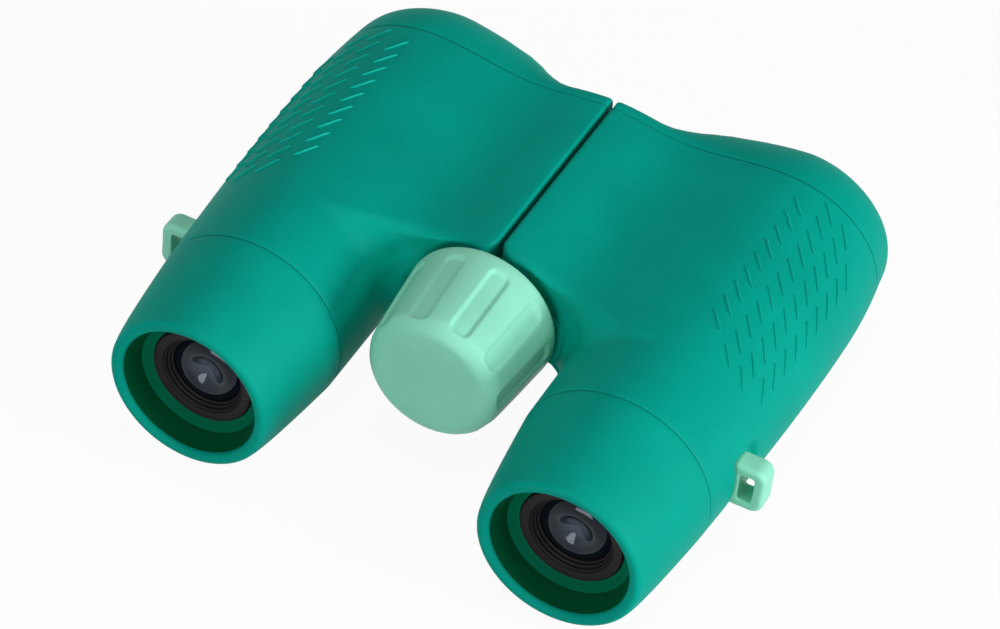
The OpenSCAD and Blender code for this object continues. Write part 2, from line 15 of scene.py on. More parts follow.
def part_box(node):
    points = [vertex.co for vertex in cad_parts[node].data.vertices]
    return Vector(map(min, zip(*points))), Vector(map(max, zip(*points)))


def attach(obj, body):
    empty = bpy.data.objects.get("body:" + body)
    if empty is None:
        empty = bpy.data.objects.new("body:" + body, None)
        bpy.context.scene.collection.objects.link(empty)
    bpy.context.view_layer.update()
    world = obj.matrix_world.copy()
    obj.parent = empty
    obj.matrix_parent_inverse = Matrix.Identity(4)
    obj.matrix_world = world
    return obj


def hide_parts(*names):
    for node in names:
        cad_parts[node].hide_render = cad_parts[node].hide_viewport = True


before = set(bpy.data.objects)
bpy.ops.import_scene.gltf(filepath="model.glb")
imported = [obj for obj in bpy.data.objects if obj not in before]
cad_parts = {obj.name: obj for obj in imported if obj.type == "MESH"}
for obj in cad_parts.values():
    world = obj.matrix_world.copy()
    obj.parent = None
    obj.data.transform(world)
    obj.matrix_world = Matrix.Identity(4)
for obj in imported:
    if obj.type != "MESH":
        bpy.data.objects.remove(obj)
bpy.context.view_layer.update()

MM = 0.001


# ---- sizes from the frame -----------------------------------------------------------------

def box_mm(node):
    low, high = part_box(node)
    return np.array(low) / MM, np.array(high) / MM


cup_low, cup_high = box_mm("right_eyecup")
cover_low, cover_high = box_mm("right_front_cover")
knob_low, knob_high = box_mm("focus_knob")
lug_low, lug_high = box_mm("right_strap_lug")
bezel_low, bezel_high = box_mm("right_bezel_ring")
lens_low, lens_high = box_mm("right_eye_lens")

AXIS_X = (cup_low[0] + cup_high[0]) / 2
JOINT_Y = cup_high[1]
AXIS_Z = (cup_low[2] + cup_high[2]) / 2
SEAM_Y = cover_low[1] - JOINT_Y
FRONT_Y = cover_high[1] - JOINT_Y
MOUTH_Y = cup_low[1] - JOINT_Y
HINGE_Z = (knob_low[2] + knob_high[2]) / 2 - AXIS_Z
KNOB_R = (knob_high[0] - knob_low[0]) / 2
KNOB_Y = knob_low[1] - JOINT_Y
KNOB_END = knob_high[1] - JOINT_Y
BEZEL_Y = bezel_low[1] - JOINT_Y
BEZEL_R = (bezel_high[0] - bezel_low[0]) / 2
LENS_R = (lens_high[0] - lens_low[0]) / 2

# ---- sizes of the shapes that Blender refines ----------------------------------------------

# Barrel: circle, swell of its outer side, nose and objective opening
BARREL_R = AXIS_Z
BARREL_SWELL = 2.7
SWELL_Y = 0.68 * FRONT_Y
NOSE_DROP = 1.4
NOSE_TOP_R, NOSE_SIDE_R = 16, 8.5
OPENING_R = 11.5
RIM_STEP = 0.5
RIM_DEPTH = 0.8
RIM_R = OPENING_R + RIM_STEP + 0.3
COVER_BORE_R = 13.05
RECESS_Y = FRONT_Y - 6
NECK_R = BARREL_R - 3.75


def nose_start(r):
    """y at which the barrel's front edge, rounded with radius r, begins."""
    return FRONT_Y - r * math.sin(math.acos(1 - (BARREL_R - RIM_R) / r))


NOSE_Y = nose_start(NOSE_SIDE_R)

# Shells: thickness on the barrel and at the wings' rear, gap and rounding at the seams
SKIN = 1.2
REAR_SKIN = 1.9
SEAM_GAP = 0.04
SEAM_EDGE = 0.3
SEAM_BEND = 0.3 * SEAM_EDGE

# Wing: along the hinge, across it, and the concave corners to the barrel
WING_Y = 20.0
WING_TOP_Y = 23.4
WING_SWEEP = 0.0085
WING_END = 67.4
RIDGE_REAR = 17.3
RIDGE_FRONT = 16.5
VALLEY_Z = 15.1
VALLEY_X = 14.6
WING_UNDER = 2.2
UNDER_FILLET = 12
SLIT = 0.8
SLIT_ROUND = 0.8
RIDGE_EDGE = 0.7
UNDER_EDGE = 0.3
FOLD_HALF = math.radians(30)
# Rear of the wing: concave foot, and its rounded edge, whose radius grows towards the barrel
REAR_FILLET = 7.0
REAR_EDGE_MIN, REAR_EDGE_GROWTH = 3, 2
REAR_GROWS_FROM, REAR_GROWS_TO = 14, 26
# Round recess behind the knob: radius, rearmost y, and how its side slopes back
KNOB_RECESS = 14.6
RECESS_FLOOR = 19.3
RECESS_SLOPE, RECESS_CURVE = 3, 14
RECESS_SOFT = 0.25
# Across the wing: where its front edge begins to round off, and the radius of that rounding
FRONT_X = (0, 7, 9, 11, 13, 15.3, 17, 20, 25, 34)
FRONT_FROM = (65.6, 65.6, 65.2, 64.9, 64.7, 64.65, 64.65, 64.65, 64.75, 65.27)
FRONT_ROUND = (1.9, 1.9, 2.8, 4.3, 6.6, 9.2, 11.4, 14.0, 15.5, 16)

# Hinge: knuckles, the groove in the wing beside the other half's knuckles and beside its own
KNUCKLE_R = 6.8
KNUCKLE_BORE = 3.05
OPEN_GROOVE = 7.1
OWN_GROOVE = 6.6
RIGHT_KNUCKLES = ((20.0, 28.7), (58.1, SEAM_Y))
LEFT_KNUCKLES = ((29.0, 37.7), (52.1, 57.8))
CHAMBER = (38.0, 51.8)
CHAMBER_WALL = 1.0

LUG_Y0, LUG_Y1 = lug_low[1] - JOINT_Y, lug_high[1] - JOINT_Y
LUG_Z0, LUG_Z1 = lug_low[2] - AXIS_Z, lug_high[2] - AXIS_Z
LUG_X1 = lug_high[0]


# ---- mesh making -----------------------------------------------------------------------------

def to_frame(points, left=False):
    """Millimetres of the half's frame to metres of the shared frame."""
    p = np.array(points, float).reshape(-1, 3)
    p[:, 1] += JOINT_Y
    p[:, 2] += AXIS_Z
    if left:
        p[:, 0] *= -1
    return p * MM


def add_piece(name, points, faces, body, material, left=False, sharp=35):
    """Piece of the given points and faces, shaded smooth up to the sharp angle in degrees."""
    mesh = bpy.data.meshes.new(name)
    mesh.from_pydata(to_frame(points, left).tolist(), [], faces)
    bm = bmesh.new()
    bm.from_mesh(mesh)
    bmesh.ops.remove_doubles(bm, verts=bm.verts, dist=1e-7)
    bmesh.ops.recalc_face_normals(bm, faces=bm.faces)
    bm.to_mesh(mesh)
    bm.free()
    mesh.shade_smooth()
    mesh.set_sharp_from_angle(angle=math.radians(sharp))
    mesh.materials.append(material)
    obj = bpy.data.objects.new(name, mesh)
    bpy.context.scene.collection.objects.link(obj)
    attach(obj, body)
    return obj


def grid_faces(rows, cols, wrap_rows=True, wrap_cols=True, start=0):
    """Quads over a grid of rows x cols points."""
    r = np.arange(rows if wrap_rows else rows - 1)
    c = np.arange(cols if wrap_cols else cols - 1)
    r, c = np.meshgrid(r, c, indexing="ij")
    r2, c2 = (r + 1) % rows, (c + 1) % cols
    quads = np.stack([r * cols + c, r2 * cols + c, r2 * cols + c2, r * cols + c2], -1)
    return (quads.reshape(-1, 4) + start).tolist()


def smooth_step(a, b, x):
    """0 up to a and 1 from b on, with a smooth rise between them."""
    t = np.clip((np.asarray(x, float) - a) / (b - a), 0, 1)
    return t * t * (3 - 2 * t)


def resample(y, h, n):
    """n points evenly spaced along the path (y, h)."""
    run = np.concatenate([[0], np.cumsum(np.hypot(np.diff(y), np.diff(h)))])
    at = np.linspace(0, run[-1], n)
    return np.interp(at, run, y), np.interp(at, run, h)


def revolved(points, turns, bump=None):
    """Closed ring of the profile [(r, y), ...] round an axis, as (angle, profile) grid points."""
    r, y = np.array(points, float).T
    a = np.linspace(0, 2 * np.pi, turns, endpoint=False)
    rr = np.repeat(r[None], turns, 0)
    yy = np.repeat(y[None], turns, 0)
    if bump is not None:
        rr = rr + bump(a[:, None], yy, rr)
    return np.stack([rr * np.cos(a)[:, None], yy, rr * np.sin(a)[:, None]], -1)


def arc(cx, cy, r, a0, a1, n):
    """Points (x, y) of an arc, angles in degrees."""
    t = np.radians(np.linspace(a0, a1, n))
    return [(cx + r * math.cos(k), cy + r * math.sin(k)) for k in t]


# ---- the skin of a half ------------------------------------------------------------------------

def outer_extra(y):
    """How far the barrel's outer side lies beyond the circle."""
    y = np.minimum(y, NOSE_Y)
    swell = BARREL_SWELL * np.sin(np.pi / 2 * np.clip(y / SWELL_Y, 0, 1))
    return swell - NOSE_DROP * (np.maximum(0, y - SWELL_Y) / (NOSE_Y - SWELL_Y)) ** 2


def top_z(x, ridge):
    """Height of the wing's top at x, for the height of its ridge."""
    rise = VALLEY_Z + (ridge - VALLEY_Z) * (1 + np.cos(np.pi * np.minimum(x, VALLEY_X) / VALLEY_X)) / 2
    out = np.clip((x - VALLEY_X) / (AXIS_X - VALLEY_X), 0, 1)
    return np.where(x < VALLEY_X, rise, VALLEY_Z + (BARREL_R - VALLEY_Z) * (1 - np.cos(np.pi * out)) / 2)


def wing_points(ridge, groove):
    """Cross-section of the wing from the top of the barrel round to the barrel's underside."""
    edge_x = SLIT / 2 + RIDGE_EDGE
    x = AXIS_X + (edge_x - AXIS_X) * np.linspace(0, 1, 48)
    top = list(zip(x, top_z(x, ridge)))
    edge_z = float(top_z(np.array([edge_x]), ridge)[0]) - RIDGE_EDGE
    corner = arc(edge_x, edge_z, RIDGE_EDGE, 90, 180, 7)[1:]
    groove_top = HINGE_Z + math.sqrt(groove**2 - (SLIT / 2) ** 2)
    face = [(SLIT / 2, edge_z + (groove_top - edge_z) * k / 5) for k in range(1, 5)]
    start = 90 - math.degrees(math.asin(SLIT / 2 / groove))
    round_hinge = arc(0, HINGE_Z, groove, start, -90 + math.degrees(FOLD_HALF), 22)
    under_x = (HINGE_Z + WING_UNDER) * math.tan(FOLD_HALF)
    tangent = UNDER_EDGE * math.tan(FOLD_HALF)
    x0, z0 = round_hinge[-1]
    x1 = under_x - tangent * math.sin(FOLD_HALF)
    z1 = -WING_UNDER + tangent * math.cos(FOLD_HALF)
    slant = [(x0 + (x1 - x0) * k / 3, z0 + (z1 - z0) * k / 3) for k in range(1, 3)]
    bend = arc(under_x + tangent, -WING_UNDER + UNDER_EDGE, UNDER_EDGE, 210, 270, 4)
    fillet_x = under_centre(BARREL_R)
    flat = [(k, -WING_UNDER) for k in np.linspace(bend[-1][0], fillet_x, 7)[1:-1]]
    meet = math.degrees(math.asin((WING_UNDER + UNDER_FILLET) / (BARREL_R + UNDER_FILLET)))
    fillet = arc(fillet_x, -WING_UNDER - UNDER_FILLET, UNDER_FILLET, 90, meet, 16)
    return np.array(top + corner + face + round_hinge + slant + bend + flat + fillet)


def under_centre(r):
    """x of the centre of the concave corner between the underside and a barrel of radius r."""
    return AXIS_X - np.sqrt((r + UNDER_FILLET) ** 2 - (WING_UNDER + UNDER_FILLET) ** 2)


def outline():
    """The half's outline: wing points for both ridges and grooves, and the barrel points behind them."""
    base = wing_points(RIDGE_FRONT, OPEN_GROOVE)
    by_ridge = wing_points(RIDGE_REAR, OPEN_GROOVE) - base
    by_own = wing_points(RIDGE_FRONT, OWN_GROOVE) - base
    angle = np.unwrap(np.arctan2(base[:, 1], base[:, 0] - AXIS_X))
    angle = np.maximum.accumulate(angle)
    fine = np.radians(np.concatenate([
        np.arange(math.degrees(angle[-1]) + 2, 330, 2.0), np.arange(330, 392, 0.8),
        np.arange(392, 449, 1.5)]))
    barrel = np.stack([AXIS_X + BARREL_R * np.cos(fine), BARREL_R * np.sin(fine)], -1)
    none = np.zeros_like(barrel)
    join = len(base)
    base = np.concatenate([base, barrel])
    return (base, np.concatenate([by_ridge, none]), np.concatenate([by_own, none]),
            np.concatenate([angle, fine]), join)


BASE, BY_RIDGE, BY_OWN, ANGLE, JOIN = outline()
SAMPLES = len(BASE)


def ridge_share(y):
    """How far the ridge at y is the rear one (1) or the front one (0)."""
    return np.clip((WING_END - y) / (WING_END - WING_Y), 0, 1) ** 0.8


def owned(y, stretches):
    """1 where the hinge groove is filled by the half's own knuckles."""
    y = np.asarray(y, float)
    own = np.zeros_like(y)
    for low, high in stretches:
        own += (y > low) & (y < high)
    return own


def lug_pocket(y, z):
    """Depth of the soft recess round the strap lug."""
    depth = 0.9
    along = smooth_step(LUG_Y0 - 1.1, LUG_Y0 - 0.1, y) * (1 - smooth_step(LUG_Y1 + 0.9, LUG_Y1 + 2.3, y))
    up = smooth_step(LUG_Z0 - 1.4, LUG_Z0 - 0.2, z) * (1 - smooth_step(LUG_Z1 + 0.2, LUG_Z1 + 1.4, z))
    return depth * along * up


def skin_points(y, rise, inset, swell, stretches, pocket=False):
    """Points of the skin. rise is 0 on the barrel and 1 on the wing, inset is measured inwards."""
    share = ridge_share(y)[..., None]
    own = owned(y, stretches)[..., None]
    wing = BASE[:, None] + share * BY_RIDGE[:, None] + own * BY_OWN[:, None]
    c, s = np.cos(ANGLE)[:, None], np.sin(ANGLE)[:, None]
    on_barrel = np.stack([AXIS_X + BARREL_R * c, BARREL_R * s], -1)
    p = on_barrel + rise[..., None] * (wing - on_barrel)
    outer = np.where(np.arange(SAMPLES)[:, None] >= JOIN, np.maximum(c, 0), 0)
    if pocket:
        inset = inset + np.where(outer > 0, lug_pocket(y, BARREL_R * s), 0)
    x = p[..., 0] + outer_extra(y) * swell * outer - inset * c
    z = p[..., 1] - inset * s
    if pocket:
        y = -soft_min(-y, -recess(x, z, np.where(inset > SKIN / 2, SKIN, 0)), RECESS_SOFT)
    return np.stack([x, y, z], -1)


def recess(x, z, depth):
    """Rearmost y that the round recess behind the knob leaves, or a surface at a depth inside it."""
    past = np.maximum(0, np.hypot(x, z - HINGE_Z) - KNOB_RECESS - depth)
    return RECESS_FLOOR + depth - RECESS_SLOPE * past - RECESS_CURVE * past**3


def step_path(y_wall, step, r_low, r_high, start, end, n):
    """Path from the barrel up a step with rounded foot and edge, as n points (y, height)."""
    if step < 0.02:
        return np.linspace(start, end, n), np.zeros(n)
    turn = math.pi / 2 if step >= r_low + r_high else math.acos(1 - step / (r_low + r_high))
    t = np.linspace(0, turn, 24)
    y_high = y_wall + r_high
    y_low = y_wall - r_low if step >= r_low + r_high else y_high - (r_low + r_high) * math.sin(turn)
    y = np.concatenate([[start], y_low + r_low * np.sin(t), y_high - r_high * np.sin(t[::-1]), [end]])
    h = np.concatenate([[0], r_low * (1 - np.cos(t)), step - r_high * (1 - np.cos(t[::-1])), [step]])
    return resample(y, h, n)


def steps_at(y):
    """Height of the wing above the barrel at y, for every outline sample."""
    share = ridge_share(np.array(float(y)))
    wing = BASE + share * BY_RIDGE
    on_barrel = np.stack([AXIS_X + BARREL_R * np.cos(ANGLE), BARREL_R * np.sin(ANGLE)], -1)
    step = np.hypot(*(wing - on_barrel).T)
    step[JOIN - 1:] = 0
    return step


def offset_path(y, h, depth):
    """The path moved inwards by depth."""
    dy, dh = np.gradient(y), np.gradient(h)
    size = np.hypot(dy, dh) + 1e-9
    return y + depth * dh / size, depth * dy / size


def path_stations(start, end):
    """y of the rings along the wing: even ones, and a close pair at each edge of a knuckle."""
    stations = set(np.linspace(start + 0.8, end - SEAM_EDGE - 0.4, 40).round(2))
    for pair in RIGHT_KNUCKLES + LEFT_KNUCKLES + (CHAMBER,):
        for k in pair:
            if start + 1 < k < end - 1:
                stations |= {round(k - 0.03, 2), round(k + 0.03, 2)}
    return np.array(sorted(stations))


def housing_skin(stretches):
    """Closed shell of a housing, as one grid of outline samples x path points."""
    rear_n = 64
    rear_start, rear_end = 7.0, 27.0
    widest_x = 28
    steps = steps_at(WING_Y + 2)
    front = SEAM_Y - SEAM_GAP
    stations = path_stations(rear_end, front)
    neck = BARREL_R - NECK_R
    pocket_y = np.linspace(1.2, 6.4, 10)
    rows = []
    for i in range(SAMPLES):
        x = min(BASE[i, 0], widest_x)
        edge_r = REAR_EDGE_MIN + REAR_EDGE_GROWTH * float(smooth_step(REAR_GROWS_FROM, REAR_GROWS_TO, x))
        wall_y = WING_TOP_Y - WING_SWEEP * x**2 - edge_r
        y, h = step_path(wall_y, steps[i], REAR_FILLET, edge_r, rear_start, rear_end, rear_n)
        rise = h / steps[i] if steps[i] > 0.02 else np.zeros(rear_n)
        top = 1.0 if steps[i] > 0.02 else 0.0
        in_y, in_h = offset_path(y, h, REAR_SKIN)
        outer = ([(0, 0, neck), (0, 0, SEAM_EDGE), (SEAM_BEND, 0, SEAM_BEND), (SEAM_EDGE, 0, 0)]
                 + [(k, 0, 0) for k in pocket_y] + list(zip(y, rise, np.zeros(rear_n)))
                 + [(k, top, 0) for k in stations]
                 + [(front - SEAM_EDGE, top, 0), (front - SEAM_BEND, top, SEAM_BEND),
                    (front, top, SEAM_EDGE)])
        inner = ([(front, top, SKIN)] + [(k, top, SKIN) for k in stations[::-1]]
                 + list(zip(in_y, rise, in_h))[::-1]
                 + [(k, 0, SKIN) for k in pocket_y[::-1]] + [(pocket_y[0], 0, neck)])
        rows.append(outer + inner)
    rows = np.array(rows)
    return skin_points(rows[..., 0], rows[..., 1], rows[..., 2], 1.0, stretches, pocket=True)


def round_off(depth, r):
    """How far forward an edge rounded with radius r has come at a depth below its surface."""
    return r * np.sqrt(np.maximum(0, 1 - (1 - np.clip(depth / r, 0, 1)) ** 2))


def soft_min(a, b, soft=0.2):
    """The smaller of a and b, with a rounded corner where they cross."""
    return np.minimum(a, b) - soft * np.log1p(np.exp(-np.minimum(np.abs(a - b) / soft, 60)))


def front_y(x, z, angle):
    """y of the cover's front surface at (x, z), which lies at this angle round the barrel."""
    depth = BARREL_R - np.hypot(x - AXIS_X, z)
    side_r = NOSE_SIDE_R + (NOSE_TOP_R - NOSE_SIDE_R) * math.sin(angle) ** 2
    if math.cos(angle) > 0:
        return nose_start(side_r) + round_off(depth, side_r)
    # The wing's front edge, rounded at its top and beside the slit
    y = np.interp(x, FRONT_X, FRONT_FROM)
    y = y + round_off(top_z(x, RIDGE_FRONT) - z, np.interp(x, FRONT_X, FRONT_ROUND))
    y = y - SLIT_ROUND + round_off(x - SLIT / 2, SLIT_ROUND)
    # Below the wing: the radius of the barrel that (x, z) lies on, or that its concave corner meets
    own_r = np.hypot(x - AXIS_X, z)
    below = np.maximum(0, UNDER_FILLET**2 - (z + WING_UNDER + UNDER_FILLET) ** 2)
    corner_r = np.hypot(AXIS_X - x + np.sqrt(below), WING_UNDER + UNDER_FILLET) - UNDER_FILLET
    meets_at = AXIS_X - (AXIS_X - under_centre(own_r)) * own_r / (own_r + UNDER_FILLET)
    ring = np.where(x > meets_at, own_r, corner_r)
    low_y = nose_start(NOSE_TOP_R) + round_off(BARREL_R - ring, NOSE_TOP_R)
    y = np.where(z < -WING_UNDER, soft_min(y, low_y), y)
    return soft_min(y, np.full_like(y, FRONT_Y))


def cover_skin():
    """Closed solid of a front cover with its opening."""
    n, fine = 56, 300
    start = SEAM_Y + SEAM_GAP
    bore, opening = BARREL_R - COVER_BORE_R, BARREL_R - OPENING_R
    rim = opening - RIM_STEP
    rows, swell = [], []
    for i in range(SAMPLES):
        wide = np.hypot(BASE[i, 0] - AXIS_X, BASE[i, 1])
        r = wide + (RIM_R - wide) * np.linspace(0, 1, fine) ** 1.7
        y = front_y(AXIS_X + r * math.cos(ANGLE[i]), r * math.sin(ANGLE[i]), ANGLE[i])
        y = np.maximum.accumulate(np.maximum(y, start + SEAM_EDGE + 0.02))
        y[-1] = FRONT_Y
        y, r = resample(np.concatenate([[start + SEAM_EDGE], y]), np.concatenate([[wide], r]), n)
        step = wide - BARREL_R
        rise = np.clip((r - BARREL_R) / step, 0, 1) if step > 0.02 else np.zeros(n)
        inset = np.maximum(0, BARREL_R - r)
        top = 1.0 if step > 0.02 else 0.0
        row = ([(start, 0, bore), (start, top, SEAM_EDGE), (start + SEAM_BEND, top, SEAM_BEND)]
               + list(zip(y, rise, inset)))
        tail = [(FRONT_Y, rim), (FRONT_Y - RIM_DEPTH, rim), (FRONT_Y - RIM_DEPTH, opening),
                (RECESS_Y, opening), (RECESS_Y, bore)]
        rows.append(row + [(a, 0, b) for a, b in tail])
        swell.append([0] + [1] * (len(row) - 1) + [0] * len(tail))
    rows = np.array(rows)
    return skin_points(rows[..., 0], rows[..., 1], rows[..., 2], np.array(swell, float), ())


# ---- materials ---------------------------------------------------------------------------------

def linear(r, g, b):
    """Linear colour of an sRGB colour given in 0 to 255."""
    return tuple((c / 255 / 12.92) if c / 255 <= 0.04045 else ((c / 255 + 0.055) / 1.055) ** 2.4
                 for c in (r, g, b)) + (1,)


def new_material(name):
    """Material with its nodes, links, shader, and object coordinates in millimetres."""
    m = bpy.data.materials.new(name)
    m.use_nodes = True
    nodes, links = m.node_tree.nodes, m.node_tree.links
    coord = nodes.new("ShaderNodeTexCoord")
    size = nodes.new("ShaderNodeMapping")
    size.inputs["Scale"].default_value = (1 / MM,) * 3
    links.new(coord.outputs["Object"], size.inputs["Vector"])
    return m, nodes, links, nodes["Principled BSDF"], size.outputs["Vector"]


def add_noise(nodes, links, vector, scale, detail, distortion=0.0):
    """Noise texture on the vector socket, as its value socket."""
    noise = nodes.new("ShaderNodeTexNoise")
    noise.inputs["Scale"].default_value = scale
    noise.inputs["Detail"].default_value = detail
    noise.inputs["Distortion"].default_value = distortion
    links.new(vector, noise.inputs["Vector"])
    return noise.outputs["Fac"]


def add_ramp(nodes, links, value, low, high):
    """Colour ramp between two (position, colour) pairs, and its colour socket."""
    ramp = nodes.new("ShaderNodeValToRGB")
    for element, (position, colour) in zip(ramp.color_ramp.elements, (low, high)):
        element.position, element.color = position, colour
    links.new(value, ramp.inputs["Fac"])
    return ramp.color_ramp, ramp.outputs["Color"]


def moulded(name, colour, rough, grain=9.0, height=0.012, speck=0.0, specular=0.45):
    """Moulded plastic or rubber: fine grain, faint cloudy colour and a few pale specks of dust."""
    m, nodes, links, shader, vector = new_material(name)
    cloud = add_noise(nodes, links, vector, 0.09, 4)
    darker = tuple(c * 0.93 for c in colour[:3]) + (1,)
    lighter = tuple(min(1, c * 1.05) for c in colour[:3]) + (1,)
    last = add_ramp(nodes, links, cloud, (0.3, darker), (0.7, lighter))[1]

    if speck:
        dust = add_noise(nodes, links, vector, 2.6, 2)
        pick = nodes.new("ShaderNodeMapRange")
        pick.inputs["From Min"].default_value, pick.inputs["From Max"].default_value = 0.72, 0.78
        pick.inputs["To Max"].default_value = speck
        mix = nodes.new("ShaderNodeMix")
        mix.data_type = "RGBA"
        mix.inputs["B"].default_value = tuple(0.5 + 0.5 * c for c in colour[:3]) + (1,)
        links.new(dust, pick.inputs["Value"])
        links.new(pick.outputs["Result"], mix.inputs["Factor"])
        links.new(last, mix.inputs["A"])
        last = mix.outputs["Result"]
    links.new(last, shader.inputs["Base Color"])

    bump = nodes.new("ShaderNodeBump")
    bump.inputs["Strength"].default_value = 0.35
    bump.inputs["Distance"].default_value = height * MM
    links.new(add_noise(nodes, links, vector, grain, 3), bump.inputs["Height"])
    links.new(bump.outputs["Normal"], shader.inputs["Normal"])

    spread = nodes.new("ShaderNodeMapRange")
    spread.inputs["To Min"].default_value = rough - 0.05
    spread.inputs["To Max"].default_value = rough + 0.06
    links.new(cloud, spread.inputs["Value"])
    links.new(spread.outputs["Result"], shader.inputs["Roughness"])
    shader.inputs["Specular IOR Level"].default_value = specular
    return m


def metal(name, colour, rough):
    """Finely turned or brushed metal."""
    m = moulded(name, colour, rough, grain=14, height=0.006)
    m.node_tree.nodes["Principled BSDF"].inputs["Metallic"].default_value = 1
    return m


def coated_glass(name, deep, middle):
    """Dark coated glass under a clear and smooth surface, with a painted reflection: lighter round the
    optical axis.
    """
    m, nodes, links, shader, vector = new_material(name)
    cloud = add_noise(nodes, links, vector, 0.16, 2, 1.2)

    def maths(operation, a, b=None):
        """Maths node on sockets or plain numbers."""
        node = nodes.new("ShaderNodeMath")
        node.operation = operation
        for socket, value in zip(node.inputs, (a, b)):
            if isinstance(value, bpy.types.NodeSocket):
                links.new(value, socket)
            elif value is not None:
                socket.default_value = value
        return node.outputs[0]

    split = nodes.new("ShaderNodeSeparateXYZ")
    links.new(vector, split.inputs["Vector"])
    across = maths("SUBTRACT", maths("ABSOLUTE", split.outputs["X"]), AXIS_X)
    up = maths("SUBTRACT", split.outputs["Z"], AXIS_Z)
    from_axis = maths("SQRT", maths("ADD", maths("MULTIPLY", across, across), maths("MULTIPLY", up, up)))
    # Painted reflection: the colour lightens towards the optical axis, broken up by the noise.
    level = maths("ADD", maths("DIVIDE", from_axis, 6.5), maths("MULTIPLY", cloud, 0.4))
    ramp, colour = add_ramp(nodes, links, level, (0.3, middle), (0.85, deep))
    ramp.interpolation = "EASE"
    links.new(colour, shader.inputs["Base Color"])
    shader.inputs["Roughness"].default_value = 0.07
    shader.inputs["Specular IOR Level"].default_value = 0.26
    shader.inputs["Specular Tint"].default_value = (0.82, 0.9, 1, 1)
    return m


TEAL = moulded("teal_soft_touch", linear(0, 166, 148), 0.55, speck=0.16, specular=0.06)
# Lighter teal for the raised grip dashes: painted highlight on their tops.
TEAL_GRIP_PAINTED_HIGHLIGHT = moulded("teal_grip_dashes_painted_highlight", linear(10, 182, 163), 0.55, specular=0.05)
TEAL_RUBBER = moulded("teal_eyecup", linear(0, 166, 147), 0.58, grain=7, speck=0.12, specular=0.06)
# Darker teals for the eyecup's inner wall and its stepped floor: painted shade inside the cup.
TEAL_INSIDE_PAINTED_SHADE = moulded("teal_eyecup_inside_painted_shade", linear(0, 92, 56), 0.7, grain=7, specular=0.03)
TEAL_FLOOR_PAINTED_SHADE = moulded("teal_eyecup_floor_painted_shade", linear(0, 116, 84), 0.65, grain=7, specular=0.03)
MINT = moulded("mint_plastic", linear(154, 239, 209), 0.42, height=0.006, speck=0.05, specular=0.2)
BLACK = moulded("black_satin", linear(30, 27, 27), 0.5, specular=0.15)
RUBBER = moulded("black_rubber", linear(24, 24, 24), 0.7)
STEEL = metal("brushed_steel", linear(196, 198, 200), 0.32)
BRASS = metal("turned_brass", linear(205, 170, 95), 0.3)
# Both glasses carry the painted reflection of coated_glass, lighter round the optical axis.
EYE_GLASS = coated_glass("coated_eye_glass", linear(14, 20, 32), linear(78, 88, 104))
FRONT_GLASS = coated_glass("coated_front_glass", linear(30, 18, 36), linear(52, 36, 60))



# ---- pieces ----------------------------------------------------------------------------------------

# Rows of grip dashes: angle of the middle and spread in degrees, y of the first dash, number of dashes
GRIP_ROWS = ((76.3, 5.2, 59.2, 9), (61.5, 5.9, 62.1, 11), (48.2, 6.2, 60.7, 11), (34.2, 6.2, 55.0, 9))

def halves():
    """(name, body, is left, stretches of the hinge that are its own) of both halves."""
    yield "right", "right_half", False, RIGHT_KNUCKLES + (CHAMBER,)
    yield "left", "left_half", True, LEFT_KNUCKLES


def add_grid(name, points, body, material, left=False, sharp=35):
    """Piece from a grid of points that is closed both ways."""
    return add_piece(name, points, grid_faces(*points.shape[:2]), body, material, left, sharp)


def grip_dashes(left, side, body):
    """Raised dashes on the outer side of the barrel, in four rows of diagonal strokes."""
    pitch, stroke_y, width, height = 4.08, 2.35, 1.4, 0.32
    sunk, depth = 0.03, 0.3
    surface_r = BARREL_R + 1.5
    along, across = 30, 15
    # s runs along a stroke from 0 to 1, t across it, and both reach a little past it
    s = np.linspace(-0.22, 1.22, along)[:, None]
    t = np.linspace(-0.85, 0.85, across)[None]
    points, faces = [], []
    for middle, spread, first, count in GRIP_ROWS:
        run = math.radians(spread) * surface_r
        length = math.hypot(run, stroke_y)
        past = np.maximum(np.maximum(-s, s - 1), 0) * length
        far = np.hypot(t * width, past)
        lift = height * (1 - smooth_step(width * 0.25, width * 0.56, far)) - sunk
        a = np.radians(middle + spread / 2 - spread * s) + t * width * (stroke_y / length) / surface_r
        for k in range(count):
            y = first - pitch * k - stroke_y * s + t * width * (run / length)
            upper = barrel_surface(a, y, lift)
            lower = barrel_surface(a, y, np.full_like(lift, -depth))
            start = len(points)
            points += list(upper.reshape(-1, 3)) + list(lower.reshape(-1, 3))
            faces += grid_faces(along, across, False, False, start)
            faces += grid_faces(along, across, False, False, start + along * across)
            border = ([i * across for i in range(along)]
                      + [(along - 1) * across + j for j in range(1, across)]
                      + [i * across + across - 1 for i in range(along - 2, -1, -1)]
                      + [j for j in range(across - 2, 0, -1)])
            for u, v in zip(border, border[1:] + border[:1]):
                faces.append([start + u, start + v, start + v + along * across, start + u + along * across])
    # The dashes take the lighter teal, a painted highlight on their tops.
    return add_piece(f"{side}_grip_dashes", points, faces, body, TEAL_GRIP_PAINTED_HIGHLIGHT, left, sharp=60)


def barrel_surface(a, y, lift):
    """Points of the barrel's outer side, lifted along its normal."""
    wide = BARREL_R + outer_extra(y)
    x, z = wide * np.cos(a), BARREL_R * np.sin(a)
    nx, nz = np.cos(a) / wide, np.sin(a) / BARREL_R
    size = np.hypot(nx, nz)
    return np.stack([AXIS_X + x + lift * nx / size, y, z + lift * nz / size], -1)


def on_axis(profile, turns):
    """Grid of a profile revolved round the optical axis."""
    return revolved(profile, turns) + np.array([AXIS_X, 0, 0])


